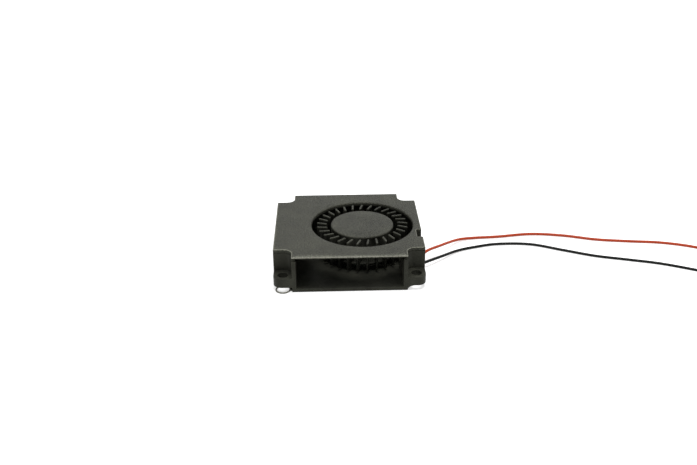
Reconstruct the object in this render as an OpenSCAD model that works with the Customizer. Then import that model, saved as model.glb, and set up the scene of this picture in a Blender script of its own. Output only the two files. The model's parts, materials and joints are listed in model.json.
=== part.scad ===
// Radial blower: a flat square housing with a round air inlet on top, a wide slot
// outlet at the front and a bladed wheel on an external-rotor motor.
// Origin: middle of the underside. +X right, -Y towards the outlet, +Z up. Millimetres.

/* [Housing] */
// Width of the housing, left to right
body_w = 40; // [38:0.5:46]
// Depth of the housing, outlet to back
body_d = 40; // [38:0.5:46]
// Overall height of the housing
body_h = 10; // [9.6:0.1:13]
// Thickness of the side walls
wall_t = 1.1; // [0.8:0.1:1.4]
// Thickness of the floor
floor_t = 1; // [0.9:0.1:1.2]
// Thickness of the cover plate
cover_t = 1; // [0.6:0.1:1.4]
// Side of the square notch at each corner
notch_w = 4.9; // [4.4:0.1:5.4]
// Radius of the inner corner of a notch
notch_r = 2.2; // [1:0.1:2.6]
// Thickness that is left at the front edge of the cover
lip_t = 0.35; // [0.2:0.05:0.6]
// Depth of the taper under the front edge of the cover
lip_len = 1.2; // [0.6:0.1:2]
// Diameter of the pegs that hold the cover
peg_d = 1.5; // [1:0.1:1.8]
// Length of the cover pegs
peg_len = 2; // [1:0.1:4]
// Distance of a cover peg from the side of the housing
peg_side = 2.2; // [1.8:0.1:2.6]
// Distance of a cover peg from the notch
peg_from_notch = 2.3; // [1.8:0.1:3]

/* [Mounting ears] */
// Distance of a mounting hole from the two sides beside it
hole_inset = 2.5; // [2.2:0.05:2.7]
// Diameter of the mounting holes
hole_d = 2.8; // [2:0.1:3]
// Height of the underside of the ears
ear_z = 1.3; // [1.2:0.05:3]
// Thickness of the ears
ear_t = 2.55; // [1:0.05:4]
// Radius of the outer corner of an ear
ear_r = 2.2; // [1:0.1:2.6]
// Reach of the hollow-rounded rib under an ear, from the side of the housing
ear_rib = 1.9; // [1.2:0.1:2.5]
// Thickness of that rib
ear_rib_t = 0.9; // [0.6:0.05:0.9]
// Outside diameter of the thin eyelet under the front left ear
eyelet_d = 4.1; // [3.8:0.1:4.3]
// Bore of the eyelet
eyelet_bore = 3.3; // [2.8:0.1:3.4]
// Thickness of the eyelet
eyelet_t = 0.35; // [0.2:0.05:0.6]
// Distance of the eyelet's edge in front of the housing
eyelet_out = 0.75; // [0:0.05:1]
// Width of the bridge that carries the eyelet
bridge_w = 1.4; // [0.8:0.1:2]

/* [Air path] */
// Width of the cover that is left between the inlet and the right side
inlet_rim = 2; // [1.7:0.1:2.6]
// Diameter of the air inlet
inlet_d = 28; // [27:0.2:29]
// Chamfer on the rim of the inlet
inlet_chamfer = 0.4; // [0.1:0.05:0.6]
// Gap between the wheel and the tongue of the scroll
tongue_gap = 1; // [0.6:0.1:1.6]
// Angle of the tongue in front of the right side of the axis
tongue_angle = 45; // [40:1:48]

/* [Wheel] */
// Number of blades
blade_count = 29; // [19:1:33]
// Outside diameter of the blade ring
wheel_d = 25.2; // [24:0.1:25.6]
// Inside diameter of the blade ring at the top
blade_in_d = 19.5; // [19:0.1:21]
// Thickness of a blade
blade_t = 0.6; // [0.4:0.05:0.8]
// Lean of the blades from the radius, trailing
blade_lean = 14; // [0:1:30]
// Turn of the whole blade ring
blade_phase = 4.3; // [0:0.1:12.4]
// Distance of the blade tops under the top of the housing
blade_drop = 0.05; // [0:0.05:0.5]
// Running gap between the blades and the floor
blade_gap = 0.7; // [0.6:0.05:1]
// Diameter of the hub
hub_d = 17.3; // [16.9:0.1:17.8]
// Distance of the hub top under the top of the housing
hub_drop = 0.1; // [0:0.05:0.4]
// Wall of the hub
hub_wall = 0.75; // [0.6:0.05:0.9]
// Thickness of the hub top
hub_roof = 0.8; // [0.6:0.05:1]
// Rounding of the hub's top edge
hub_round = 0.4; // [0.1:0.05:0.5]
// Gap between the hub skirt and the circuit board
hub_gap = 0.6; // [0.4:0.05:0.9]
// Diameter of the web that carries the blades
web_d = 22; // [20.5:0.1:24]
// Thickness of the web
web_t = 0.6; // [0.4:0.1:1]
// Height of the underside of the web
web_z = 2.8; // [2.6:0.1:4]

/* [Bearing] */
// Diameter of the shaft
shaft_d = 1.5; // [1.2:0.1:2]
// Depth of the shaft in the hub top
shaft_in_roof = 0.3; // [0.1:0.05:0.5]
// Outside diameter of the bearing tube
tube_d = 5; // [4.6:0.1:5.4]
// Wall of the bearing tube
tube_wall = 0.7; // [0.5:0.05:0.8]
// Diameter of the shoulder that the stator sits on
shoulder_d = 6; // [5.8:0.1:6.4]
// Height of that shoulder
shoulder_z = 3; // [2.8:0.1:3.2]
// Rounding of the ends of the bush
bush_chamfer = 0.2; // [0.1:0.05:0.4]
// Thickness of the cap under the bearing
cap_t = 0.5; // [0.3:0.05:0.6]
// Thickness of the thrust pad
pad_t = 0.3; // [0.2:0.05:0.4]
// Distance of the retaining ring above the end of the shaft
clip_up = 0.4; // [0.3:0.05:0.5]
// Thickness of the retaining ring
clip_t = 0.25; // [0.2:0.05:0.4]
// Outside diameter of the retaining ring
clip_d = 2.6; // [2.2:0.1:3]
// Diameter of the groove in the shaft for the retaining ring
groove_d = 1.1; // [0.8:0.05:1.1]
// Opening of the retaining ring
clip_open = 0.8; // [0.5:0.1:1]
// Thickness of the oil washer over the bush
washer_t = 0.25; // [0.15:0.05:0.3]
// Outside diameter of the oil washer
washer_d = 3; // [2.4:0.1:3.2]
// Diameter of the boss that holds the shaft
boss_d = 3.4; // [3:0.1:4]
// Length of that boss under the hub top
boss_len = 1.85; // [1.4:0.05:2.4]

/* [Motor] */
// Thickness of the rotor's steel cup
yoke_t = 0.5; // [0.4:0.05:0.6]
// Diameter of the hole in the top of the steel cup
yoke_hole_d = 5; // [4.4:0.1:8]
// Thickness of the ring magnet
magnet_t = 1.15; // [0.9:0.05:1.2]
// Length of the magnet past each end of the stator core
magnet_over = 1.6; // [0.6:0.1:1.8]
// Gap between the magnet and the stator
air_gap = 0.3; // [0.2:0.05:0.4]
// Gap between the stator and the top of the steel cup
stator_gap = 0.8; // [0.5:0.05:1]
// Width of a pole neck
neck_w = 1.5; // [1.2:0.1:1.7]
// Radial thickness of a pole shoe
shoe_t = 0.8; // [0.6:0.05:1]
// Angle of a pole shoe
shoe_angle = 74; // [60:1:78]
// Radial thickness of the core ring
core_ring_t = 0.7; // [0.5:0.05:0.8]
// Thickness of the insulator plates and skirts
insulator_t = 0.25; // [0.2:0.05:0.3]
// Height of the insulator over the core
insulator_h = 1.3; // [1.1:0.05:1.3]
// Thickness of a winding
winding_t = 0.85; // [0.5:0.05:0.9]
// Diameter of the circuit board
board_d = 15.6; // [14.8:0.1:16]
// Thickness of the circuit board
board_t = 0.6; // [0.4:0.05:0.7]
// Diameter of a terminal pin
pin_d = 0.4; // [0.3:0.05:0.5]
// Diameter of the boss round a terminal pin
pin_boss_d = 1; // [0.8:0.05:1.1]
// Length of the driver chip
chip_l = 2.9; // [2:0.1:3.2]
// Width of the driver chip
chip_w = 1.6; // [1.2:0.1:1.8]
// Height of the driver chip
chip_h = 0.9; // [0.6:0.05:1]
// Length of the capacitor
cap_l = 1.6; // [1:0.1:2]
// Width and height of the capacitor
cap_w = 0.8; // [0.5:0.05:0.9]

/* [Leads] */
// Diameter of a lead
lead_d = 0.8; // [0.6:0.05:0.85]
// Distance between the two leads in their channel
lead_pitch = 1.2; // [1:0.1:1.4]
// Distance of the lead channel in front of the axis
channel_y = 6.5; // [6:0.1:7]
// Room on each side of the leads in their channel
channel_side = 0.2; // [0.1:0.05:0.4]
// Thickness of the skin over the channel
channel_skin = 0.35; // [0.3:0.05:0.4]
// Width of the lead exit in the right wall
exit_w = 4.3; // [3.6:0.1:5]
// Depth of the lead exit in the right wall
exit_deep = 1.5; // [1:0.1:1.6]
// Diameter of the coil of spare lead, at the middle of its turns
coil_d = 9.6; // [9:0.2:12]
// Turns in the coil
coil_turns = 3; // [2:1:4]
// Thickness of the coil tie
tie_t = 0.3; // [0.2:0.05:0.4]
// Width of the coil tie
tie_w = 1.6; // [1:0.1:2.4]

/* [Connector] */
// Width of the connector
plug_w = 7.4; // [7:0.1:8]
// Length of the connector
plug_l = 9; // [8:0.1:10]
// Height of the connector
plug_h = 5; // [4.6:0.1:5.6]
// Distance between the contacts
plug_pitch = 2.5; // [2.4:0.05:2.6]
// Side of a contact cavity
cavity_w = 1.9; // [1.7:0.05:2]
// Side of a contact
contact_w = 1.6; // [1.4:0.05:1.7]
// Thickness of the contact's sheet metal
contact_t = 0.2; // [0.15:0.05:0.3]
// Depth of the contacts behind the mating face
contact_set = 0.8; // [0.4:0.1:1.4]
// Depth of the leads in the connector
lead_in_plug = 1.6; // [1:0.1:2]
// Width of a guide rib on the connector
rib_w = 1; // [0.6:0.1:1.4]
// Height of a guide rib on the connector
rib_h = 0.6; // [0.4:0.05:0.8]
// Length of a guide rib on the connector
rib_l = 6.3; // [4:0.1:7.5]
// Length of the latch windows of the connector
window_l = 1.8; // [1.2:0.1:2.4]
// Distance of the latch windows from the mating face
window_y = 2.7; // [2:0.1:4]

/* [Hidden] */

$fn = 64;

// Radial clearance between pieces that are pressed or pushed together
fit = 0.02;
// Radial clearance of the shaft in its bush
run_fit = 0.02;
// End float of the rotor
end_play = 0.05;
// Gap between turning and fixed faces in the bearing
face_gap = 0.1;
// Overlap that makes cuts and joins clean
eps = 0.1;

// Half sizes and the planes between the housing's pieces
half_w = body_w / 2;
half_d = body_d / 2;
fan_x = half_w - inlet_rim - inlet_d / 2;
wall_top = body_h - cover_t;
outlet_half = half_w - notch_w - wall_t;
axis = [fan_x, 0, 0];
peg_x = half_w - peg_side;
peg_y = half_d - notch_w - peg_from_notch;
hole_x = half_w - hole_inset;
hole_y = half_d - hole_inset;
eyelet_y = half_d + eyelet_out - eyelet_d / 2;

// Scroll: its radius grows evenly from the right wall to the left wall
wheel_r = wheel_d / 2;
scroll_start = half_w - wall_t - fan_x;
scroll_end = half_w - wall_t + fan_x;
scroll_close = 232;
scroll_step = 7.5;

// Wheel heights
blade_top = body_h - blade_drop;
blade_low = floor_t + blade_gap;
hub_top = body_h - hub_drop;
roof_low = hub_top - hub_roof;
board_top = floor_t + board_t;
hub_low = board_top + hub_gap;
hub_r = hub_d / 2;
hub_in = hub_r - hub_wall;
blade_steps = 4;

// Bearing stack, from the cap up to the boss
tube_in = tube_d / 2 - tube_wall;
bush_r = tube_in - fit;
shaft_r = shaft_d / 2;
shaft_low = cap_t + pad_t + end_play;
clip_z = shaft_low + clip_up;
bush_z = clip_z + clip_t + face_gap;
boss_low = roof_low - boss_len;
washer_z = boss_low - washer_t;
bush_top = washer_z - face_gap;
shaft_top = roof_low + shaft_in_roof;
tube_top = bush_top;

// Rotor and stator radii
pole_count = 4;
yoke_r = hub_in - fit;
magnet_r = yoke_r - yoke_t - fit;
magnet_in = magnet_r - magnet_t;
core_r = magnet_in - air_gap;
core_in = tube_d / 2 + fit;
core_z = shoulder_z + insulator_h;
core_h = roof_low - yoke_t - stator_gap - insulator_h - core_z;
core_mid = core_z + core_h / 2;
magnet_len = core_h + 2 * magnet_over;
magnet_z = core_z - magnet_over;
collar_r = core_in + core_ring_t;
neck_end = core_r - shoe_t;
flange_t = 0.4;
winding_in = collar_r + eps;
winding_out = neck_end - flange_t;
flange_short = 12;
flange_angle = shoe_angle - flange_short;
skirt_half = neck_w / 2 + insulator_t;
winding_half = skirt_half + fit + winding_t;
winding_end = sqrt(pow(winding_out, 2) - pow(winding_half, 2)) - fit;

// Terminal pins stand on the insulator's flange, beside three of the poles
pin_r = winding_out + flange_t / 2;
pin_angles = [35, 125, 215];
pin_deep = 0.7;

// Lead channel, exit and joints
channel_mid = -channel_y;
red_y = channel_mid + lead_pitch / 2;
black_y = channel_mid - lead_pitch / 2;
lead_from_axis = 1.6;
lead_start = fan_x + lead_from_axis;
lead_z = lead_d / 2 + face_gap;
channel_w = lead_pitch + lead_d + 2 * channel_side;
channel_h = lead_d + face_gap + end_play;
joint_d = 0.8;
channel_start = lead_start - joint_d - face_gap;
exit_x = half_w - exit_deep;
board_seat_d = board_d + 2 * face_gap;

// Places of the driver chip and the capacitor round the axis, and the legs of the chip
chip_at = -60;
cap_at = 150;
leg_w = 0.35;
leg_t = 0.15;
leg_out = 0.5;

// Free leads: points chosen along the way from the board to the coil
red_route = [
    [lead_start, red_y, lead_z], [12, red_y, lead_z], [16.2, red_y, lead_z],
    [18.6, red_y, lead_z],
    [19.9, -5.4, 1.4], [21.5, -4.1, 3], [26.4, 0.7, 2.4], [31.8, 6.8, 0.9],
    [36.5, 8.7, 0.45], [44.2, 9.3, 0.45], [54, 10.6, 0.45], [63.2, 9.2, 0.45],
    [72, 6.3, 0.45], [80.8, 4.8, 0.45], [90, 3.5, 0.45], [98, 0.7, 0.45],
    [104, -3.4, 0.45], [107.2, -10, 0.45], [107.6, -17, 0.5], [107.6, -25, 0.7]
];
black_route = [
    [lead_start, black_y, lead_z], [12, black_y, lead_z], [16.2, black_y, lead_z],
    [18.6, black_y, lead_z],
    [19.9, -7.3, 0.85], [21.3, -7.4, 1.5], [25.9, -3.8, 1.2], [31, 0.7, 0.55],
    [36.5, 3, 0.45], [43.3, 4.6, 0.45], [52.5, 4, 0.45], [61, 0, 0.45],
    [69, -3.8, 0.45], [77.4, -6.4, 0.45], [85.5, -9, 0.45], [93, -12.6, 0.45],
    [100, -16.4, 0.45], [105, -20.4, 0.5], [106.8, -25, 0.7]
];
coil_at = [112, -26];
coil_low = tie_t;
coil_high = coil_low + (coil_turns + 1) * lead_d;
tail_z = coil_high - lead_d / 2;
plug_y = -36;
plug_mid_x = coil_at[0] - coil_d / 2;
contact_z = plug_h / 2;
tail_end = plug_y - lead_in_plug;
tail_gap = lead_d / 2;
tie_gap = 0.1;
tie_head = 1.2;
red_tail_route = [
    [plug_mid_x + tail_gap, -27, tail_z], [plug_mid_x + tail_gap, -29, tail_z],
    [plug_mid_x + plug_pitch / 2, -35, contact_z], [plug_mid_x + plug_pitch / 2, tail_end, contact_z]
];
black_tail_route = [
    [plug_mid_x - tail_gap, -27, tail_z], [plug_mid_x - tail_gap, -29, tail_z],
    [plug_mid_x - plug_pitch / 2, -35, contact_z], [plug_mid_x - plug_pitch / 2, tail_end, contact_z]
];
tube_sides = 8;
lead_steps = 2;
tail_steps = 1;

// Colours of the finishes
housing_grey = [0.34, 0.34, 0.32];
wheel_black = [0.12, 0.12, 0.12];
steel = [0.7, 0.71, 0.72];
ferrite = [0.22, 0.21, 0.21];
bronze = [0.66, 0.5, 0.28];
copper = [0.75, 0.4, 0.2];
nylon = [0.93, 0.92, 0.88];

// Point of a smooth curve through p1 and p2, at t from 0 to 1
function curve_point(p0, p1, p2, p3, t) =
    0.5 * (2 * p1 + (p2 - p0) * t + (2 * p0 - 5 * p1 + 4 * p2 - p3) * t * t
        + (3 * p1 - p0 - 3 * p2 + p3) * t * t * t);

// Curve through all the points, with a set number of steps between each pair
function smooth_route(pts, steps) = [
    for (i = [0:len(pts) - 2], k = [0:steps - 1])
        curve_point(pts[max(i - 1, 0)], pts[i], pts[i + 1], pts[min(i + 2, len(pts) - 1)], k / steps),
    pts[len(pts) - 1]
];

function unit(v) = v / norm(v);

// Direction of a route at its point i
function heading(p, i) = unit(p[min(i + 1, len(p) - 1)] - p[max(i - 1, 0)]);

// Ring of points round a route's point, square to its direction
function tube_ring(p, i, r) =
    let (h = heading(p, i), side = unit(cross(h, [0, 0, 1])), up = cross(side, h))
    [for (k = [0:tube_sides - 1]) p[i] + r * (cos(360 * (k + 0.5) / tube_sides) * side
        + sin(360 * (k + 0.5) / tube_sides) * up)];

// Round tube swept along a route
module tube(pts, d, steps) {
    p = smooth_route(pts, steps);
    n = len(p);
    s = tube_sides;
    polyhedron(
        points = [for (i = [0:n - 1]) each tube_ring(p, i, d / 2)],
        faces = concat(
            [[for (k = [0:s - 1]) k]],
            [for (i = [0:n - 2], k = [0:s - 1])
                [i * s + k, (i + 1) * s + k, (i + 1) * s + (k + 1) % s, i * s + (k + 1) % s]],
            [[for (k = [s - 1:-1:0]) (n - 1) * s + k]]
        )
    );
}

// Places its children at the four corners, turned so that they point outwards
module at_corners() {
    for (x = [0, 1], y = [0, 1])
        mirror([x, 0]) mirror([0, y])
            children();
}

// Corner piece that a round of radius r leaves over
module corner_waste(r) {
    difference() {
        square(r);
        translate([r, r])
            circle(r);
    }
}

// Plan of the housing, moved inwards by inset
module outline(inset = 0) {
    difference() {
        square([body_w - 2 * inset, body_d - 2 * inset], center = true);
        at_corners()
            translate([half_w - notch_w - inset, half_d - notch_w - inset])
                difference() {
                    square(notch_w + 2 * inset + eps);
                    corner_waste(notch_r + inset);
                }
    }
}

// Radius of the scroll at angle a, counted from the right side of the axis
function scroll_r(a) =
    a < 0 ? scroll_start + (scroll_start - wheel_r - tongue_gap) * a / tongue_angle
    : scroll_start + (scroll_end - scroll_start) * min(a, 180) / 180;

// Plan of the air space: the scroll round the wheel and the straight outlet
module air_space() {
    intersection() {
        outline(wall_t);
        translate([fan_x, 0])
            polygon([for (a = [-tongue_angle:scroll_step:scroll_close]) scroll_r(a) * [cos(a), sin(a)]]);
    }
    translate([-outlet_half, -half_d - eps])
        square([2 * outlet_half, half_d + eps - (wheel_r + tongue_gap) * sin(tongue_angle)]);
}

module ear() {
    translate([half_w - notch_w, half_d - notch_w, ear_z])
        linear_extrude(ear_t)
            difference() {
                translate([-wall_t / 2, -wall_t / 2])
                    square(notch_w + wall_t / 2);
                translate([notch_w, notch_w])
                    rotate(180)
                        corner_waste(ear_r);
            }
}

// Rib under the outer edge of an ear, hollow-rounded from the side of the housing to the ear
module ear_underrib() {
    translate([half_w - notch_w, half_d, 0])
        rotate([90, 0, 0])
            linear_extrude(ear_rib_t)
                polygon([
                    [-wall_t / 2, 0],
                    for (a = [0:15:90]) [ear_rib * (1 - cos(a)), ear_z * sin(a)],
                    [ear_rib, ear_z + eps],
                    [-wall_t / 2, ear_z + eps]
                ]);
}

module eyelet() {
    linear_extrude(eyelet_t)
        translate([-hole_x, -eyelet_y]) {
            circle(d = eyelet_d);
            translate([0, -bridge_w / 2])
                square([notch_w - hole_inset + wall_t, bridge_w]);
        }
}

// Room for the two leads under the floor and up the right wall
module lead_way() {
    translate([channel_start, channel_mid - channel_w / 2, -eps])
        cube([exit_x - channel_start + eps, channel_w, channel_h + eps]);
    translate([exit_x, channel_mid - exit_w / 2, -eps])
        cube([exit_deep + eps, exit_w, body_h + 2 * eps]);
}

// Raised skin over the lead channel, from the edge of the board to the right wall
module channel_cover() {
    difference() {
        translate([fan_x, channel_mid - channel_w / 2 - channel_skin, 0])
            cube([exit_x - fan_x, channel_w + 2 * channel_skin, channel_h + channel_skin]);
        translate(axis)
            translate([0, 0, floor_t])
                cylinder(h = channel_h + channel_skin, d = board_seat_d);
    }
}

module cover_pegs(d, z, h) {
    at_corners()
        translate([peg_x, peg_y, z])
            cylinder(h = h, d = d);
}

module base_shell() {
    color(housing_grey)
    difference() {
        union() {
            difference() {
                linear_extrude(wall_top)
                    outline();
                translate([0, 0, floor_t])
                    linear_extrude(wall_top)
                        air_space();
            }
            at_corners()
                ear();
            // The front left ear has the eyelet under it and no rib
            for (corner = [[0, 0], [0, 1], [1, 0]])
                mirror([corner[0], 0]) mirror([0, corner[1]])
                    ear_underrib();
            eyelet();
            // Bearing tube and the shoulder under the stator
            translate(axis) {
                cylinder(h = tube_top, d = tube_d);
                cylinder(h = shoulder_z, d = shoulder_d);
            }
            channel_cover();
        }
        translate(axis)
            translate([0, 0, -eps])
                cylinder(h = tube_top + 2 * eps, r = tube_in);
        at_corners()
            translate([hole_x, hole_y, ear_z - eps])
                cylinder(h = ear_t + 2 * eps, d = hole_d);
        translate([-hole_x, -eyelet_y, -eps])
            cylinder(h = eyelet_t + 2 * eps, d = eyelet_bore);
        lead_way();
        // Window under the board, where the leads are joined to it
        intersection() {
            translate([channel_start, channel_mid - channel_w / 2, 0])
                cube([board_d / 2, channel_w, floor_t + eps]);
            translate(axis)
                cylinder(h = floor_t + eps, d = board_seat_d);
        }
        cover_pegs(peg_d + 2 * fit, wall_top - peg_len - eps, peg_len + 2 * eps);
    }
}

module top_cover() {
    color(housing_grey)
    difference() {
        union() {
            translate([0, 0, wall_top])
                linear_extrude(cover_t)
                    outline();
            cover_pegs(peg_d, wall_top - peg_len, peg_len + eps);
        }
        translate(axis) {
            translate([0, 0, wall_top - eps])
                cylinder(h = cover_t + 2 * eps, d = inlet_d);
            translate([0, 0, body_h - inlet_chamfer])
                cylinder(h = inlet_chamfer + eps, d1 = inlet_d, d2 = inlet_d + 2 * (inlet_chamfer + eps));
        }
        lead_way();
        // Taper under the front edge, over the outlet
        translate([-outlet_half, -half_d, wall_top])
            rotate([90, 0, 90])
                linear_extrude(2 * outlet_half)
                    polygon([
                        [-eps, -eps], [lip_len, -eps], [lip_len, 0],
                        [0, cover_t - lip_t], [-eps, cover_t - lip_t]
                    ]);
    }
}

// Point of a blade's edge at radius r: the blade leans by a steady angle from the radius
function blade_edge(r, side) =
    let (a = -tan(blade_lean) * ln(2 * r / blade_in_d) * 180 / PI + side * asin(blade_t / 2 / r))
    r * [cos(a), sin(a)];

module blade_plan(r_in, r_out) {
    radii = [for (k = [0:blade_steps]) r_in + (r_out - r_in) * k / blade_steps];
    polygon([
        for (k = [0:blade_steps]) blade_edge(radii[k], -1),
        for (k = [blade_steps:-1:0]) blade_edge(radii[k], 1)
    ]);
}

module blade_ring(r_in, z_low, z_top) {
    translate([0, 0, z_low])
        linear_extrude(z_top - z_low)
            for (k = [0:blade_count - 1])
                rotate(blade_phase + 360 * k / blade_count)
                    blade_plan(r_in, wheel_r);
}

module impeller() {
    color(wheel_black)
    translate(axis) {
        difference() {
            union() {
                rotate_extrude()
                    difference() {
                        translate([0, hub_low])
                            square([hub_r, hub_top - hub_low]);
                        translate([hub_r, hub_top])
                            rotate(180)
                                corner_waste(hub_round);
                    }
                translate([0, 0, web_z])
                    cylinder(h = web_t, d = web_d);
                blade_ring(blade_in_d / 2, web_z, blade_top);
                blade_ring(hub_r - hub_wall / 2, blade_low, web_z + web_t);
            }
            // Room for the motor, with the shaft boss left standing
            difference() {
                translate([0, 0, -eps])
                    cylinder(h = roof_low + eps, r = hub_in);
                translate([0, 0, boss_low])
                    cylinder(h = body_h, d = boss_d);
            }
            cylinder(h = shaft_top + fit, r = shaft_r + fit);
        }
    }
}

module rotor_yoke() {
    color(steel)
    translate(axis)
        difference() {
            translate([0, 0, hub_low + face_gap])
                cylinder(h = roof_low - hub_low - face_gap, r = yoke_r);
            translate([0, 0, hub_low])
                cylinder(h = roof_low - yoke_t - hub_low, r = yoke_r - yoke_t);
            translate([0, 0, hub_low])
                cylinder(h = body_h, d = yoke_hole_d);
        }
}

module ring_magnet() {
    color(ferrite)
    translate(axis)
        translate([0, 0, magnet_z])
            difference() {
                cylinder(h = magnet_len, r = magnet_r);
                translate([0, 0, -eps])
                    cylinder(h = magnet_len + 2 * eps, r = magnet_in);
            }
}

module shaft() {
    color(steel)
    translate(axis)
        difference() {
            translate([0, 0, shaft_low])
                cylinder(h = shaft_top - shaft_low, r = shaft_r);
            translate([0, 0, clip_z - fit])
                difference() {
                    cylinder(h = clip_t + 2 * fit, r = shaft_r + eps);
                    translate([0, 0, -eps])
                        cylinder(h = clip_t + 2 * fit + 2 * eps, d = groove_d);
                }
        }
}

module retaining_ring() {
    color(steel)
    translate(axis)
        translate([0, 0, clip_z])
            difference() {
                cylinder(h = clip_t, d = clip_d);
                translate([0, 0, -eps])
                    cylinder(h = clip_t + 2 * eps, d = groove_d + 2 * fit);
                translate([0, -clip_open / 2, -eps])
                    cube([clip_d, clip_open, clip_t + 2 * eps]);
            }
}

module oil_washer() {
    color(nylon)
    translate(axis)
        translate([0, 0, washer_z])
            difference() {
                cylinder(h = washer_t, d = washer_d);
                translate([0, 0, -eps])
                    cylinder(h = washer_t + 2 * eps, r = shaft_r + fit);
            }
}

module bearing_bush() {
    color(bronze)
    translate(axis)
        rotate_extrude()
            polygon([
                [shaft_r + run_fit, bush_z], [bush_r - bush_chamfer, bush_z],
                [bush_r, bush_z + bush_chamfer], [bush_r, bush_top - bush_chamfer],
                [bush_r - bush_chamfer, bush_top], [shaft_r + run_fit, bush_top]
            ]);
}

module thrust_pad() {
    color(nylon)
    translate(axis)
        translate([0, 0, cap_t])
            cylinder(h = pad_t, r = tube_in - fit);
}

module bearing_cap() {
    color(housing_grey)
    translate(axis)
        cylinder(h = cap_t, r = tube_in - fit);
}

// Sector of a ring between two radii, with its middle on the X axis
module ring_sector(r_in, r_out, angle) {
    intersection() {
        difference() {
            circle(r_out);
            circle(r_in);
        }
        polygon([[0, 0], 2 * r_out * [cos(angle / 2), -sin(angle / 2)],
            2 * r_out * [1, 0], 2 * r_out * [cos(angle / 2), sin(angle / 2)]]);
    }
}

module at_poles() {
    for (k = [0:pole_count - 1])
        rotate(360 * k / pole_count)
            children();
}

module stator_core() {
    color(steel)
    translate(axis)
        translate([0, 0, core_z])
            linear_extrude(core_h)
                difference() {
                    union() {
                        circle(collar_r);
                        at_poles() {
                            translate([0, -neck_w / 2])
                                square([neck_end + shoe_t / 2, neck_w]);
                            ring_sector(neck_end, core_r, shoe_angle);
                        }
                    }
                    circle(core_in);
                }
}

// One insulator, lying on the plane z = 0 and standing up from it
module insulator() {
    difference() {
        union() {
            linear_extrude(insulator_t) {
                circle(collar_r);
                at_poles()
                    translate([0, -skirt_half])
                        square([winding_out + flange_t / 2, 2 * skirt_half]);
            }
            cylinder(h = insulator_h, r = collar_r);
            linear_extrude(insulator_h)
                at_poles()
                    ring_sector(winding_out, winding_out + flange_t, flange_angle);
            // Skirts that reach down beside the necks
            translate([0, 0, -core_h / 2 + fit])
                linear_extrude(core_h / 2)
                    at_poles()
                        for (side = [0, 1])
                            mirror([0, side])
                                translate([winding_in, neck_w / 2 + fit])
                                    square([winding_out - winding_in, insulator_t - fit]);
        }
        translate([0, 0, -core_h])
            cylinder(h = core_h + insulator_h + eps, r = core_in);
    }
}

module upper_insulator() {
    color(nylon)
    translate(axis)
        translate([0, 0, core_z + core_h])
            insulator();
}

module lower_insulator() {
    color(nylon)
    translate(axis)
        difference() {
            union() {
                translate([0, 0, core_z])
                    mirror([0, 0, 1])
                        insulator();
                for (a = pin_angles)
                    rotate(a)
                        translate([pin_r, 0, shoulder_z + face_gap])
                            cylinder(h = insulator_h - 2 * face_gap, d = pin_boss_d);
            }
            for (a = pin_angles)
                rotate(a)
                    translate([pin_r, 0, shoulder_z - eps])
                        cylinder(h = pin_deep + eps, d = pin_d + 2 * fit);
        }
}

// Frame-shaped winding round the neck of pole k
module winding(k) {
    inner_w = 2 * (skirt_half + fit);
    inner_h = core_h + 2 * (insulator_t + fit);
    color(copper)
    translate(axis)
        rotate(360 * k / pole_count)
            translate([winding_in, 0, core_mid])
                rotate([90, 0, 90])
                    linear_extrude(winding_end - winding_in)
                        difference() {
                            union() {
                                square([2 * winding_half, inner_h], center = true);
                                square([inner_w, inner_h + 2 * winding_t], center = true);
                                for (x = [-1, 1], y = [-1, 1])
                                    translate([x * inner_w / 2, y * inner_h / 2])
                                        circle(winding_t);
                            }
                            square([inner_w, inner_h], center = true);
                        }
}

module circuit_board() {
    color([0.1, 0.35, 0.2])
    translate(axis)
        translate([0, 0, floor_t])
            difference() {
                cylinder(h = board_t, d = board_d);
                translate([0, 0, -eps])
                    cylinder(h = board_t + 2 * eps, d = shoulder_d + 2 * fit);
                for (a = pin_angles)
                    rotate(a)
                        translate([pin_r, 0, -eps])
                            cylinder(h = board_t + 2 * eps, d = pin_d + 4 * fit);
            }
}

module driver_chip() {
    color([0.1, 0.1, 0.1])
    translate(axis)
        rotate(chip_at)
            translate([(shoulder_d / 2 + core_r) / 2 + leg_out, 0, board_top]) {
                translate([-chip_w / 2, -chip_l / 2, leg_t])
                    cube([chip_w, chip_l, chip_h - leg_t]);
                for (y = [-1, 0, 1])
                    translate([-chip_w / 2 - leg_out, y * chip_l / 3 - leg_w / 2, 0])
                        cube([chip_w + 2 * leg_out, leg_w, 2 * leg_t]);
            }
}

module capacitor() {
    color([0.62, 0.5, 0.36])
    translate(axis)
        rotate(cap_at)
            translate([(shoulder_d / 2 + core_r) / 2 - cap_w / 2, -cap_l / 2, board_top])
                cube([cap_w, cap_l, cap_w]);
}

module terminal_pins() {
    color(bronze)
    translate(axis)
        for (a = pin_angles)
            rotate(a)
                translate([pin_r, 0, floor_t])
                    cylinder(h = shoulder_z + pin_deep - floor_t - fit, d = pin_d);
}

module solder_joints() {
    color(steel)
    for (y = [red_y, black_y])
        intersection() {
            translate([lead_start - joint_d / 2 + eps, y, eps])
                cylinder(h = floor_t - eps, d = joint_d);
            translate([0, y - joint_d, 0])
                cube([lead_start, 2 * joint_d, floor_t]);
        }
}

module red_lead() {
    color([0.8, 0.2, 0.1])
    tube(red_route, lead_d, lead_steps);
}

module black_lead() {
    color([0.1, 0.1, 0.1])
    tube(black_route, lead_d, lead_steps);
}

// Outer shape of the spare lead, wound in a round coil
module lead_coil() {
    color([0.3, 0.1, 0.08])
    translate([coil_at[0], coil_at[1], 0])
        rotate_extrude()
            translate([coil_d / 2 - lead_d, coil_low])
                square([2 * lead_d, coil_high - coil_low]);
}

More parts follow.
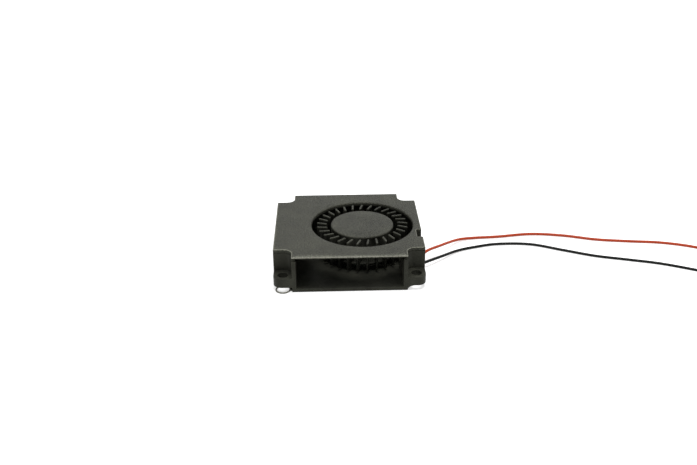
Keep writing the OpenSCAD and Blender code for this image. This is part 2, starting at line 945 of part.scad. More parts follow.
// Band round the coil's bundle, on its right side, with a locking head
module coil_tie() {
    inner_half = lead_d + tie_gap;
    outer_half = inner_half + tie_t;
    color([0.15, 0.15, 0.15])
    translate([coil_at[0] + coil_d / 2, coil_at[1], 0])
        rotate([90, 0, 0])
            linear_extrude(tie_w, center = true)
                difference() {
                    union() {
                        translate([-outer_half, 0])
                            square([2 * outer_half, coil_high + fit + tie_t]);
                        translate([inner_half, coil_high - tie_head])
                            square([tie_head, tie_head + tie_t]);
                    }
                    translate([-inner_half, coil_low - fit])
                        square([2 * inner_half, coil_high - coil_low + 2 * fit]);
                }
}

module red_tail() {
    color([0.8, 0.2, 0.1])
    tube(red_tail_route, lead_d, tail_steps);
}

module black_tail() {
    color([0.1, 0.1, 0.1])
    tube(black_tail_route, lead_d, tail_steps);
}

// Places its children at the two contact cavities, on the mating face
module at_contacts() {
    for (side = [-1, 1])
        translate([plug_mid_x + side * plug_pitch / 2, plug_y - plug_l, contact_z])
            children();
}

module connector_housing() {
    color(nylon)
    difference() {
        union() {
            translate([plug_mid_x - plug_w / 2, plug_y - plug_l, 0])
                cube([plug_w, plug_l, plug_h - rib_h]);
            // Guide ribs on the upper side
            for (side = [-1, 1])
                translate([plug_mid_x + side * plug_pitch / 2, plug_y - plug_l, plug_h - 2 * rib_h])
                    translate([-rib_w / 2, 0, 0])
                        cube([rib_w, rib_l, 2 * rib_h]);
        }
        at_contacts()
            translate([-cavity_w / 2, -eps, -cavity_w / 2])
                cube([cavity_w, plug_l + 2 * eps, cavity_w]);
        // Latch windows under the contacts
        at_contacts()
            translate([-cavity_w / 2, window_y, -plug_h])
                cube([cavity_w, window_l, plug_h]);
    }
}

module connector_contacts() {
    contact_l = plug_l - lead_in_plug - contact_set;
    color(bronze)
    at_contacts()
        translate([-contact_w / 2, contact_set, -cavity_w / 2])
            difference() {
                cube([contact_w, contact_l, contact_w]);
                translate([contact_t, -eps, contact_t])
                    cube([contact_w - 2 * contact_t, contact_l - contact_t + eps, contact_w - 2 * contact_t]);
            }
}

base_shell();
top_cover();
impeller();
rotor_yoke();
ring_magnet();
shaft();
retaining_ring();
oil_washer();
bearing_bush();
thrust_pad();
bearing_cap();
stator_core();
upper_insulator();
lower_insulator();
winding(0);  // winding_1
winding(1);  // winding_2
winding(2);  // winding_3
winding(3);  // winding_4
circuit_board();
driver_chip();
capacitor();
terminal_pins();
solder_joints();
red_lead();
black_lead();
lead_coil();
coil_tie();
red_tail();
black_tail();
connector_housing();
connector_contacts();
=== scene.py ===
"""Looks of a small radial blower: moulded housing and cover, bladed wheel, two thin leads."""
import json
import math

import bmesh
import bpy
import numpy as np
from mathutils import Matrix, Vector


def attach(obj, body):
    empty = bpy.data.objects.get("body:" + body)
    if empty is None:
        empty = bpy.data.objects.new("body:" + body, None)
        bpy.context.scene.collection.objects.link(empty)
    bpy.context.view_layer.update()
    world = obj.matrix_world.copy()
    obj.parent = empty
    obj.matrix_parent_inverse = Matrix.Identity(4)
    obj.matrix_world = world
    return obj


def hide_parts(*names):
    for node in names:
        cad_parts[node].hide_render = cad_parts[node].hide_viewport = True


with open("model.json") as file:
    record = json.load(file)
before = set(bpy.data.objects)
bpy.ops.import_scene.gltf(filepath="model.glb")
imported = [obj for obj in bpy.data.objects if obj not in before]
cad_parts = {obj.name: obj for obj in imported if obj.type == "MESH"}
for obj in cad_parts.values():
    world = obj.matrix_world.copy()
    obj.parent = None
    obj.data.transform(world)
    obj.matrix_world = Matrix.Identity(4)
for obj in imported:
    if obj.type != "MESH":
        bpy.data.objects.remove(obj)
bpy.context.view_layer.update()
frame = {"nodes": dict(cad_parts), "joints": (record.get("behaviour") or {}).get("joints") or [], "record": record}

# Lengths in this script are millimetres until a mesh is made
MM = 0.001

# Camera of the photograph: place of the lens, directions in degrees, lens and width of the sensor, and where
# the view starts
CAMERA_AT = (-5.36, -218.34, 114.77)
CAMERA_AZIMUTH = -1.46
CAMERA_ELEVATION = 26.21
CAMERA_ROLL = -0.42
CAMERA_LENS = 45.2
CAMERA_SENSOR = 36
CAMERA_NEAR = 1.0

# Housing: half its width, its height, the seam under the cover, where the notches start, their inner
# rounding and that of the corners, the lead's exit, and the ease of the edges with its steps
HALF = 20.0
HEIGHT = 10.0
COVER_LOW = 9.0
NOTCH = 15.1
NOTCH_ROUND = 2.2
CORNER_ROUND = 0.3
EXIT_X = 18.5
EXIT_FRONT = -8.65
EXIT_BACK = -4.35
EASE = 0.12
EASE_STEPS = 3
# Thin eyelet under the front left ear: its middle, outer radius and upper level, and how much paler its rim is
# made
EYELET_AT = (-17.5, -18.7)
EYELET_R = 2.05
EYELET_TOP = 0.35
EYELET_PALER = 1.5

# Cover: roundings of its upper edge, of its edge over the seam and of the lip over the outlet, the inlet,
# the depth and lift of the lip, and the pegs. Then the painted highlight along the lip's upper edge, a
# lighter tone from its side to its top and a little way in, that along the other edges, and RINGS, the shares
# of the way from the inlet to the edge at which the top has its rings of points
COVER_EDGE = 0.2
SEAM_EDGE = 0.16
LIP_EDGE = 0.08
LIP_HIGHLIGHT_PAINT = (0, 0.3, 1, 1, 1, 0.65)
EDGE_HIGHLIGHT_PAINT = (0, 0.25, 0.8, 0.8, 0.5, 0)
RINGS = (0.97, 0.75, 0.5, 0.25)
INLET_R = 14.0
INLET_EDGE = 0.4
LIP_DEEP = 1.2
LIP_LIFT = 0.65
PEG_AT = (17.8, 12.8)
PEG_R = 0.75
PEG_LOW = 7.0
PEG_ROUND = 0.2
PEG_SIDES = 24
# Points on each straight run of the cover's outline
COVER_RUNS = 10
# Number of the outline's corner before the lead's exit, and the directions in degrees in which the two front
# corners of the notch there are joined to the inlet
BEFORE_EXIT = 3
EXIT_TURN = (-41.0, -36.0)

# Wheel. A blade starts at BLADE_ROOT on the web, and its inner edge steps out to BLADE_IN at the levels
# BLADE_STEP. BLADE_POINTS is the number of points along each of its sides and round each of its ends, and
# FOOT_POINTS that in the rounding of its foot
AXIS_X = frame["joints"][0]["pos_m"][0] / MM
BLADES = 29
BLADE_PHASE = 4.3
BLADE_LEAN = 14.0
BLADE_IN = 9.75
BLADE_ROOT = (8.4, 8.8)
BLADE_OUT = 12.6
BLADE_LOW = 1.7
BLADE_TOP = 9.95
BLADE_STEP = (3.1, 3.4, 3.8)
BLADE_T = 0.6
BLADE_FOOT_ROUND = 0.15
BLADE_TOP_ROUND = 0.22
BLADE_POINTS = 7
FOOT_POINTS = 4
HUB_R = 8.65
HUB_IN = 7.9
HUB_TOP = 9.9
HUB_LOW = 2.2
HUB_ROUND = 0.4
SKIRT_ROUND = 0.15
ROOF_LOW = 9.1
BOSS_R = 1.7
BOSS_LOW = 7.25
SHAFT_HOLE_R = 0.77
SHAFT_HOLE_TOP = 9.42
WEB_R = 11.0
WEB_LOW = 2.8
WEB_TOP = 3.4
WEB_ROUND = 0.2
WHEEL_SIDES = 128
# How far the web reaches into the hub and a peg into the cover
SINK = 0.2

# Leads: the same points as the solids, then a coil of spare length and the tails to the connector.
# ROUTE_STEPS is the number of samples between two points of a route, LEAD_SPACING the distance of the points
# that a lead is then drawn through, COIL_STEPS their number in a turn of the coil, and LEAD_ROUND the
# fineness of the lead's section
LEAD_D = 0.8
LEAD_SPACING = 0.7
LEAD_ROUND = 4
ROUTE_STEPS = 24
RED_ROUTE = [
    (5.6, -5.9, 0.5), (12, -5.9, 0.5), (16.2, -5.9, 0.5), (18.6, -5.9, 0.5),
    (19.9, -5.4, 1.4), (21.5, -4.1, 3), (26.4, 0.7, 2.4), (31.8, 6.8, 0.9),
    (36.5, 8.7, 0.45), (44.2, 9.3, 0.45), (54, 10.6, 0.45), (63.2, 9.2, 0.45),
    (72, 6.3, 0.45), (80.8, 4.8, 0.45), (90, 3.5, 0.45), (98, 0.7, 0.45),
    (104, -3.4, 0.45), (107.2, -10, 0.45), (107.6, -17, 0.5), (107.6, -25, 0.7),
]
BLACK_ROUTE = [
    (5.6, -7.1, 0.5), (12, -7.1, 0.5), (16.2, -7.1, 0.5), (18.6, -7.1, 0.5),
    (19.9, -7.3, 0.85), (21.3, -7.4, 1.5), (25.9, -3.8, 1.2), (31, 0.7, 0.55),
    (36.5, 3, 0.45), (43.3, 4.6, 0.45), (52.5, 4, 0.45), (61, 0, 0.45),
    (69, -3.8, 0.45), (77.4, -6.4, 0.45), (85.5, -9, 0.45), (93, -12.6, 0.45),
    (100, -16.4, 0.45), (105, -20.4, 0.5), (106.8, -25, 0.7),
]
COIL_AT = (112.0, -26.0)
COIL_TURNS = 3
COIL_STEPS = 48
COIL_LOW = 0.7
RED_COIL_R = 4.4
BLACK_COIL_R = 5.2
RED_TAIL = [(107.6, -29, 3.1), (108.45, -35, 2.5), (108.45, -37.6, 2.5)]
BLACK_TAIL = [(106.8, -29, 3.1), (105.95, -35, 2.5), (105.95, -37.6, 2.5)]

# Tie round the coil: the strap with the rounding of its edges and of its loop, points on the loop's runs and
# in the arcs and runs of its section, and the locking head with its rows and columns of points
TIE_AT = (116.8, -26.0)
TIE_T = 0.28
TIE_W = 1.6
TIE_EDGE = TIE_T / 3
TIE_HALF = 1.05
TIE_LOW = 0.15
TIE_HIGH = 3.67
TIE_ROUND = 0.4
TIE_RUNS = 6
STRAP_ARC = 4
STRAP_RUN = 1
TIE_HEAD_AT = (118.3, -26.0, 3.06)
TIE_HEAD = (0.6, 0.8, 0.75)
TIE_HEAD_POWER = 9
TIE_HEAD_GRID = (33, 64)

# Studio, in metres and watts: plain white, the floor, with the white added for the camera close to the object
# and far from it and the distances between which that changes, the surroundings' light at the horizon and
# overhead, and the lamp
WHITE = (1, 1, 1, 1)
FLOOR_SIZE = 3.0
FLOOR_DROP = 0.00002
FLOOR_TONE = 0.92
FLOOR_ROUGH = 0.9
FLOOR_GLOW = (0.6, 0.96)
FLOOR_REACH = (0.03, 0.12)
ROOM_LOW = 0.12
ROOM_HIGH = 0.6
LAMP_AT = (0.03, 0.0, 0.38)
LAMP_SIZE = (0.2, 0.16)
LAMP_POWER = 0.8

# Meshes: angle in degrees above which an edge is sharp, angle within which faces are one flat face, distance
# in metres at which points are one, distance within which a point lies on a line, and points in an arc of an
# outline and in a quarter round
SHARP = 40
FLAT = 0.2
SAME_POINT = 2e-7
ON_LINE = 0.01
ARC_STEPS = 8
QUARTER_STEPS = 5

# Moulded surface: detail and roughness of the noises for grain and patches, their range and middle, share of
# the grain on plain faces, tone of plain faces and what textured ones add to it, on the housing and on the
# wheel (whose lower faces are toned darker as painted shade), what grain, patches and the lightening of marked
# points (on the cover's edges a painted highlight) do to the tone, and where the dark and the light tone lie
GRAIN_DETAIL = 3
GRAIN_ROUGH = 0.65
PATCH_DETAIL = 4
PATCH_ROUGH = 0.6
NOISE_RANGE = (0.3, 0.7)
NOISE_MIDDLE = 0.5
PLAIN_GRAIN = 0.1
FACE_SHADE = (0.22, 0.08)
WHEEL_SHADE = (0.15, 0.15)
GRAIN_TONE = 1.1
PATCH_TONE = 0.4
LIGHTENED_TONE = 0.5
TONE_STOPS = (0.32, 0.68)

# Wound wire: its thickness and relief, how far its turns stray and at what scale, and the distance in metres
# after which a ring texture of scale 1 repeats
WIRE_D = 0.1
WIRE_RELIEF = 0.03
WIRE_STRAY = 1.5
WIRE_STRAY_SCALE = 2
RING_REPEAT = math.pi / 10


def make_camera():
    """Camera at the photograph's view: its axes follow from azimuth, elevation and roll."""
    azimuth, elevation = math.radians(CAMERA_AZIMUTH), math.radians(CAMERA_ELEVATION)
    back = Vector((
        math.sin(azimuth) * math.cos(elevation),
        -math.cos(azimuth) * math.cos(elevation),
        math.sin(elevation),
    ))
    camera = bpy.data.objects.new("camera", bpy.data.cameras.new("camera"))
    camera.data.sensor_width = CAMERA_SENSOR
    camera.data.lens = CAMERA_LENS
    camera.data.clip_start = CAMERA_NEAR * MM
    roll = Matrix.Rotation(math.radians(CAMERA_ROLL), 4, "Z")
    turn = (-back).to_track_quat("-Z", "Y").to_matrix().to_4x4()
    camera.matrix_world = Matrix.Translation(Vector(CAMERA_AT) * MM) @ turn @ roll
    bpy.context.collection.objects.link(camera)
    bpy.context.scene.camera = camera


# Shapes


def quads(rows, columns, wrap_rows, wrap_columns):
    """Faces of a grid of points: each quad joins a point with its next neighbours."""
    i, j = np.meshgrid(
        np.arange(rows if wrap_rows else rows - 1),
        np.arange(columns if wrap_columns else columns - 1),
        indexing="ij",
    )
    next_i, next_j = (i + 1) % rows, (j + 1) % columns
    corners = [i * columns + j, i * columns + next_j, next_i * columns + next_j, next_i * columns + j]
    return np.stack(corners, -1).reshape(-1, 4)


def mesh_piece(name, grids, material, lightened=None):
    """One object from grids of points, each given as (points, wrap_rows, wrap_columns). The last argument
    says how much lighter each point of the first grid is painted."""
    points, faces, count = [], [], 0
    for grid, wrap_rows, wrap_columns in grids:
        points.append(grid.reshape(-1, 3))
        faces.append(quads(*grid.shape[:2], wrap_rows, wrap_columns) + count)
        count += len(points[-1])
    mesh = bpy.data.meshes.new(name)
    mesh.from_pydata(np.concatenate(points) * MM, [], np.concatenate(faces).tolist())
    if lightened is not None:
        lightening = np.zeros(count)
        lightening[:len(points[0])] = lightened.ravel()
        mesh.attributes.new("lightened", "FLOAT", "POINT").data.foreach_set("value", lightening)
    return finish_piece(name, mesh, material)


def finish_piece(name, mesh, material):
    """Merges what coincides, turns the faces outwards and shades it smooth between sharp edges."""
    work = bmesh.new()
    work.from_mesh(mesh)
    bmesh.ops.remove_doubles(work, verts=work.verts, dist=SAME_POINT)
    bmesh.ops.dissolve_degenerate(work, dist=SAME_POINT, edges=work.edges)
    bmesh.ops.recalc_face_normals(work, faces=work.faces)
    work.to_mesh(mesh)
    work.free()
    mesh.shade_smooth()
    mesh.set_sharp_from_angle(angle=math.radians(SHARP))
    mesh.materials.append(material)
    piece = bpy.data.objects.new(name, mesh)
    bpy.context.collection.objects.link(piece)
    return piece


def rounded_path(corners, steps, runs):
    """Closed path through (x, y, radius) corners, anticlockwise: arcs that touch both sides of their
    corner, joined by straight runs. Gives points and outward normals, for each corner its arc and then the
    run to the next one."""
    spots = np.array([c[:2] for c in corners], float)
    radius = np.array([c[2] for c in corners], float)
    into = spots - np.roll(spots, 1, axis=0)
    into /= np.linalg.norm(into, axis=1, keepdims=True)
    out = np.roll(into, -1, axis=0)
    turn = np.arctan2(into[:, 0] * out[:, 1] - into[:, 1] * out[:, 0], (into * out).sum(1))
    start = np.arctan2(-into[:, 0], into[:, 1])
    angle = start[:, None] + turn[:, None] * np.linspace(0, 1, steps)
    normal = np.stack([np.cos(angle), np.sin(angle)], -1)
    side = np.sign(turn) * radius
    back = radius * np.tan(np.abs(turn) / 2)
    centre = spots - into * back[:, None] - normal[:, 0] * side[:, None]
    arc = centre[:, None] + normal * side[:, None, None]
    share = np.linspace(0, 1, runs + 2)[1:-1, None]
    run = arc[:, -1:] * (1 - share) + np.roll(arc, -1, axis=0)[:, :1] * share
    run_normal = np.repeat(normal[:, -1:], runs, axis=1)
    points = np.concatenate([arc, run], axis=1).reshape(-1, 2)
    return points, np.concatenate([normal, run_normal], axis=1).reshape(-1, 2)


def quarter(radius, steps=QUARTER_STEPS):
    """Quarter round as (inset, drop) pairs, from the wall up to the flat."""
    a = np.linspace(0, math.pi / 2, steps)
    return [(radius * (1 - math.cos(x)), radius * (1 - math.sin(x))) for x in a]


def lathe(profile, sides, centre):
    """Surface of revolution: the point (r, z) of the profile goes round the upright axis."""
    r, z = np.array(profile, float).T
    a = np.arange(sides) * 2 * math.pi / sides
    ring = np.stack([np.cos(a), np.sin(a)], -1)
    plan = r[:, None, None] * ring + np.array(centre)
    return np.concatenate([plan, np.broadcast_to(z[:, None, None], (len(r), sides, 1))], -1)


def smooth_line(points, spacing):
    """Catmull-Rom curve through the points, with samples at an even spacing along it."""
    p = np.array(points, float)
    padded = np.concatenate([p[:1], p, p[-1:]])
    t = np.linspace(0, 1, ROUTE_STEPS, endpoint=False)[None, :, None]
    p0, p1, p2, p3 = (padded[k:len(p) - 1 + k][:, None] for k in range(4))
    curve = 0.5 * (2 * p1 + (p2 - p0) * t + (2 * p0 - 5 * p1 + 4 * p2 - p3) * t**2
                   + (3 * p1 - p0 - 3 * p2 + p3) * t**3)
    curve = np.concatenate([curve.reshape(-1, 3), p[-1:]])
    along = np.concatenate([[0], np.cumsum(np.linalg.norm(np.diff(curve, axis=0), axis=1))])
    even = np.linspace(0, along[-1], max(2, round(along[-1] / spacing)))
    return np.stack([np.interp(even, along, curve[:, k]) for k in range(3)], -1)


# Materials


def add(tree, kind, inputs=None, **settings):
    """New node with its settings. Each input is a constant or an output that is linked to it."""
    node = tree.nodes.new(kind)
    for key, value in settings.items():
        setattr(node, key, value)
    for key, value in (inputs or {}).items():
        if isinstance(value, bpy.types.NodeSocket):
            tree.links.new(value, node.inputs[key])
        else:
            node.inputs[key].default_value = value
    return node


def new_group(name, inputs, outputs):
    """Shader node group with number inputs and number outputs, given by their names."""
    tree = bpy.data.node_groups.new(name, "ShaderNodeTree")
    for socket in inputs:
        tree.interface.new_socket(socket, in_out="INPUT", socket_type="NodeSocketFloat")
    for socket in outputs:
        tree.interface.new_socket(socket, in_out="OUTPUT", socket_type="NodeSocketFloat")
    return tree, tree.nodes.new("NodeGroupInput").outputs, tree.nodes.new("NodeGroupOutput").inputs


def moulded_group():
    """Moulded surface: lighter and with a fine grain on the upper faces, uneven in tone and gloss all
    over, and lightest at marked points: a painted highlight on the cover's edges, and the eyelet's paler rim."""
    tree, given, result = new_group(
        "moulded_surface",
        ["Grain Scale", "Patch Scale", "Grain From", "Grain To", "Plain Tone", "Textured Tone"],
        ["Tone", "Gloss", "Height"],
    )
    place = add(tree, "ShaderNodeTexCoord").outputs["Object"]
    grain = add(tree, "ShaderNodeTexNoise", {
        "Vector": place, "Scale": given["Grain Scale"], "Detail": GRAIN_DETAIL, "Roughness": GRAIN_ROUGH})
    patch = add(tree, "ShaderNodeTexNoise", {
        "Vector": place, "Scale": given["Patch Scale"], "Detail": PATCH_DETAIL, "Roughness": PATCH_ROUGH})
    level = add(tree, "ShaderNodeSeparateXYZ", {"Vector": place}).outputs["Z"]
    textured = add(tree, "ShaderNodeMapRange", {
        "Value": level, "From Min": given["Grain From"], "From Max": given["Grain To"],
        "To Min": PLAIN_GRAIN, "To Max": 1}).outputs["Result"]
    swing = add(tree, "ShaderNodeMath", {0: grain.outputs["Fac"], 1: NOISE_MIDDLE}, operation="SUBTRACT")
    height = add(tree, "ShaderNodeMath", {0: swing.outputs[0], 1: textured}, operation="MULTIPLY").outputs[0]
    # Marked points are painted lighter: a highlight on the cover's edges, and the eyelet's paler rim
    lightened = add(tree, "ShaderNodeAttribute", attribute_name="lightened").outputs["Fac"]
    tone = given["Plain Tone"]
    for effect, amount in (
        (textured, given["Textured Tone"]), (height, GRAIN_TONE), (patch.outputs["Fac"], PATCH_TONE),
        (lightened, LIGHTENED_TONE),
    ):
        step = add(tree, "ShaderNodeMath", {0: effect, 1: amount, 2: tone}, operation="MULTIPLY_ADD")
        tone = step.outputs[0]
    tree.links.new(tone, result["Tone"])
    tree.links.new(patch.outputs["Fac"], result["Gloss"])
    tree.links.new(height, result["Height"])
    return tree


def wound_group():
    """Wound wire: rings about the motor's axis, as close as the wire is thin, with loose turns."""
    tree, given, result = new_group("wound_wire", ["Wire"], ["Height"])
    place = add(tree, "ShaderNodeTexCoord").outputs["Object"]
    centred = add(tree, "ShaderNodeVectorMath", {0: place, 1: (AXIS_X * MM, 0, 0)}, operation="SUBTRACT")
    scale = add(tree, "ShaderNodeMath", {0: RING_REPEAT, 1: given["Wire"]}, operation="DIVIDE")
    rings = add(tree, "ShaderNodeTexWave", {
        "Vector": centred.outputs[0], "Scale": scale.outputs[0],
        "Distortion": WIRE_STRAY, "Detail Scale": WIRE_STRAY_SCALE,
    }, wave_type="RINGS", rings_direction="Z")
    tree.links.new(rings.outputs["Fac"], result["Height"])
    return tree


MOULDED = moulded_group()
WOUND = wound_group()
# Each finish under the name of its slot
MATERIALS = {}


def finish(name, tones, gloss, relief, grain, patch, textured=(-1, 0), shade=FACE_SHADE, **shading):
    """Material from the moulded surface: its dark, light and lightened tone, the last for marked points such as
    the painted highlight on the cover's edges, range of roughness, relief, scales of grain and patches, levels
    between which the grain comes up, share of the light tone on plain faces and what textured ones add to it,
    and constants of the shader."""
    material = bpy.data.materials.new(name)
    material.use_nodes = True
    tree = material.node_tree
    shader = tree.nodes["Principled BSDF"]
    surface = add(tree, "ShaderNodeGroup", {
        "Grain Scale": grain, "Patch Scale": patch,
        "Grain From": textured[0] * MM, "Grain To": textured[1] * MM,
        "Plain Tone": shade[0], "Textured Tone": shade[1],
    }, node_tree=MOULDED)
    ramp = add(tree, "ShaderNodeValToRGB", {"Fac": surface.outputs["Tone"]})
    stops = ramp.color_ramp.elements
    stops[0].position, stops[1].position = TONE_STOPS
    stops[0].color, stops[1].color = (*tones[0], 1), (*tones[1], 1)
    if len(tones) > 2:
        stops.new(1).color = (*tones[2], 1)
    rough = add(tree, "ShaderNodeMapRange", {
        "Value": surface.outputs["Gloss"], "From Min": NOISE_RANGE[0], "From Max": NOISE_RANGE[1],
        "To Min": gloss[0], "To Max": gloss[1]})
    bump = add(tree, "ShaderNodeBump", {
        "Height": surface.outputs["Height"], "Strength": 1, "Distance": relief * MM})
    tree.links.new(ramp.outputs["Color"], shader.inputs["Base Color"])
    tree.links.new(rough.outputs["Result"], shader.inputs["Roughness"])
    tree.links.new(bump.outputs["Normal"], shader.inputs["Normal"])
    for key, value in shading.items():
        shader.inputs[key.replace("_", " ")].default_value = value
    MATERIALS[name] = material
    return material


def wire_finish(name):
    """Enamelled wire: the metal's finish with its turns as relief."""
    material = finish(
        name, ((0.5, 0.17, 0.06), (0.6, 0.24, 0.09)), gloss=(0.25, 0.4), relief=0.004, grain=2500, patch=300,
        Metallic=1)
    tree = material.node_tree
    turns = add(tree, "ShaderNodeGroup", {"Wire": WIRE_D * MM}, node_tree=WOUND)
    relief = add(tree, "ShaderNodeBump", {"Height": turns.outputs["Height"], "Distance": WIRE_RELIEF * MM})
    tree.links.new(relief.outputs["Normal"], tree.nodes["Principled BSDF"].inputs["Normal"])


HOUSING_SHADING = {"Specular_IOR_Level": 0.16, "Specular_Tint": (1, 1, 0.86, 1)}
# The third tone is that of marked points: the painted highlight on the cover's edges and the eyelet's paler rim
finish(
    "housing_plastic", ((0.012, 0.0122, 0.01), (0.0915, 0.0935, 0.0725), (0.32, 0.32, 0.265)),
    gloss=(0.38, 0.48), relief=0.26, grain=2600, patch=150, textured=(9.0, 9.8), **HOUSING_SHADING)
# The wheel's faces below its top are toned darker than the housing's: painted shade where it sits under the cover
finish(
    "wheel_plastic", ((0.006, 0.0061, 0.005), (0.093, 0.095, 0.0745)),
    gloss=(0.38, 0.48), relief=0.15, grain=4200, patch=170, textured=(9.5, 9.85), shade=WHEEL_SHADE,
    **HOUSING_SHADING)
finish(
    "steel", ((0.5, 0.51, 0.52), (0.6, 0.61, 0.62)),
    gloss=(0.25, 0.38), relief=0.003, grain=2500, patch=300, Metallic=1)
finish(
    "ferrite", ((0.04, 0.038, 0.038), (0.07, 0.066, 0.064)),
    gloss=(0.55, 0.75), relief=0.01, grain=5000, patch=400)
finish(
    "bearing_bronze", ((0.4, 0.25, 0.1), (0.56, 0.38, 0.17)),
    gloss=(0.4, 0.6), relief=0.01, grain=9000, patch=500, Metallic=1)
finish(
    "nylon", ((0.74, 0.72, 0.65), (0.8, 0.78, 0.72)),
    gloss=(0.4, 0.5), relief=0.004, grain=2500, patch=200)
wire_finish("copper_wire")
finish(
    "board", ((0.012, 0.1, 0.04), (0.022, 0.14, 0.06)),
    gloss=(0.25, 0.35), relief=0.004, grain=1500, patch=300)
finish(
    "chip_plastic", ((0.016, 0.016, 0.017), (0.026, 0.026, 0.027)),
    gloss=(0.5, 0.6), relief=0.008, grain=6000, patch=300)
finish(
    "ceramic", ((0.3, 0.2, 0.12), (0.4, 0.28, 0.17)),
    gloss=(0.5, 0.6), relief=0.004, grain=4000, patch=300)
finish(
    "tinned_brass", ((0.66, 0.56, 0.36), (0.76, 0.66, 0.46)),
    gloss=(0.22, 0.35), relief=0.003, grain=3000, patch=300, Metallic=1)
finish(
    "solder", ((0.42, 0.425, 0.43), (0.54, 0.545, 0.55)),
    gloss=(0.3, 0.45), relief=0.01, grain=1500, patch=400, Metallic=1)
finish(
    "red_insulation", ((0.5, 0.05, 0.007), (0.6, 0.07, 0.011)),
    gloss=(0.35, 0.45), relief=0.004, grain=1500, patch=120, Specular_IOR_Level=0.35)
finish(
    "black_insulation", ((0.004, 0.0055, 0.004), (0.008, 0.0095, 0.008)),
    gloss=(0.35, 0.45), relief=0.004, grain=1500, patch=120, Specular_IOR_Level=0.15)
finish(
    "tie_plastic", ((0.012, 0.012, 0.012), (0.02, 0.02, 0.02)),
    gloss=(0.35, 0.45), relief=0.005, grain=2500, patch=200)
finish(
    "connector_nylon", ((0.76, 0.735, 0.665), (0.8, 0.775, 0.705)),
    gloss=(0.28, 0.36), relief=0.0015, grain=2500, patch=70)


# Pieces


def own(piece, slot, body, *nodes):
    """The piece rides on that body and stands for those solids. The slot is not used."""
    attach(piece, body)
    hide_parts(*nodes)
    return piece


def eased_copy(name, node, slot):
    """Merged copy of a solid's mesh, with flat faces joined and its edges rounded by a bevel."""
    work = bmesh.new()
    work.from_mesh(frame["nodes"][node].data)
    bmesh.ops.remove_doubles(work, verts=work.verts, dist=SAME_POINT)
    bmesh.ops.dissolve_limit(work, angle_limit=math.radians(FLAT), verts=work.verts, edges=work.edges)
    mesh = bpy.data.meshes.new(name)
    work.to_mesh(mesh)
    work.free()
    # The solid's stored normals no longer fit the joined faces
    if mesh.has_custom_normals:
        mesh.attributes.remove(mesh.attributes["custom_normal"])
    mesh.shade_smooth()
    mesh.materials.append(MATERIALS[slot])
    piece = bpy.data.objects.new(name, mesh)
    bpy.context.collection.objects.link(piece)
    bevel = piece.modifiers.new("edges", "BEVEL")
    bevel.width = EASE * MM
    bevel.segments = EASE_STEPS
    bevel.limit_method = "ANGLE"
    bevel.angle_limit = math.radians(SHARP)
    bevel.use_clamp_overlap = False
    piece.modifiers.new("flat_faces", "WEIGHTED_NORMAL")
    return own(piece, slot, "housing", node)


def pale_eyelet_rim(piece):
    """Makes the eyelet's rim paler: all points of the mesh at its upper level and not outside its outer circle."""
    spots = np.empty((len(piece.data.vertices), 3))
    piece.data.vertices.foreach_get("co", spots.ravel())
    spots /= MM
    within = np.linalg.norm(spots[:, :2] - EYELET_AT, axis=1) < EYELET_R + ON_LINE
    lightening = EYELET_PALER * (within & (np.abs(spots[:, 2] - EYELET_TOP) < ON_LINE))
    piece.data.attributes.new("lightened", "FLOAT", "POINT").data.foreach_set("value", lightening)


def lead(name, slot, route, coil_r, tail, stands_for):
    """One lead: its route on the floor, the turns of its coil as a helix, and its tail."""
    turn = np.linspace(0, 2 * math.pi * COIL_TURNS, COIL_TURNS * COIL_STEPS)
    coil = np.stack([
        COIL_AT[0] - coil_r * np.cos(turn),
        COIL_AT[1] - coil_r * np.sin(turn),
        COIL_LOW + LEAD_D * turn / (2 * math.pi),
    ], -1)
    first = smooth_line([*route, coil[0]], LEAD_SPACING)
    last = smooth_line([coil[-1], *tail], LEAD_SPACING)
    line = np.concatenate([first[:-1], coil, last[1:]])
    curve = bpy.data.curves.new(name, "CURVE")
    curve.dimensions = "3D"
    curve.bevel_depth = LEAD_D / 2 * MM
    curve.bevel_resolution = LEAD_ROUND
    curve.use_fill_caps = True
    spline = curve.splines.new("POLY")
    spline.points.add(len(line) - 1)
    spline.points.foreach_set("co", np.column_stack([line * MM, np.ones(len(line))]).ravel())
    curve.materials.append(MATERIALS[slot])
    piece = bpy.data.objects.new(name, curve)
    bpy.context.collection.objects.link(piece)
    own(piece, slot, "housing", *stands_for)


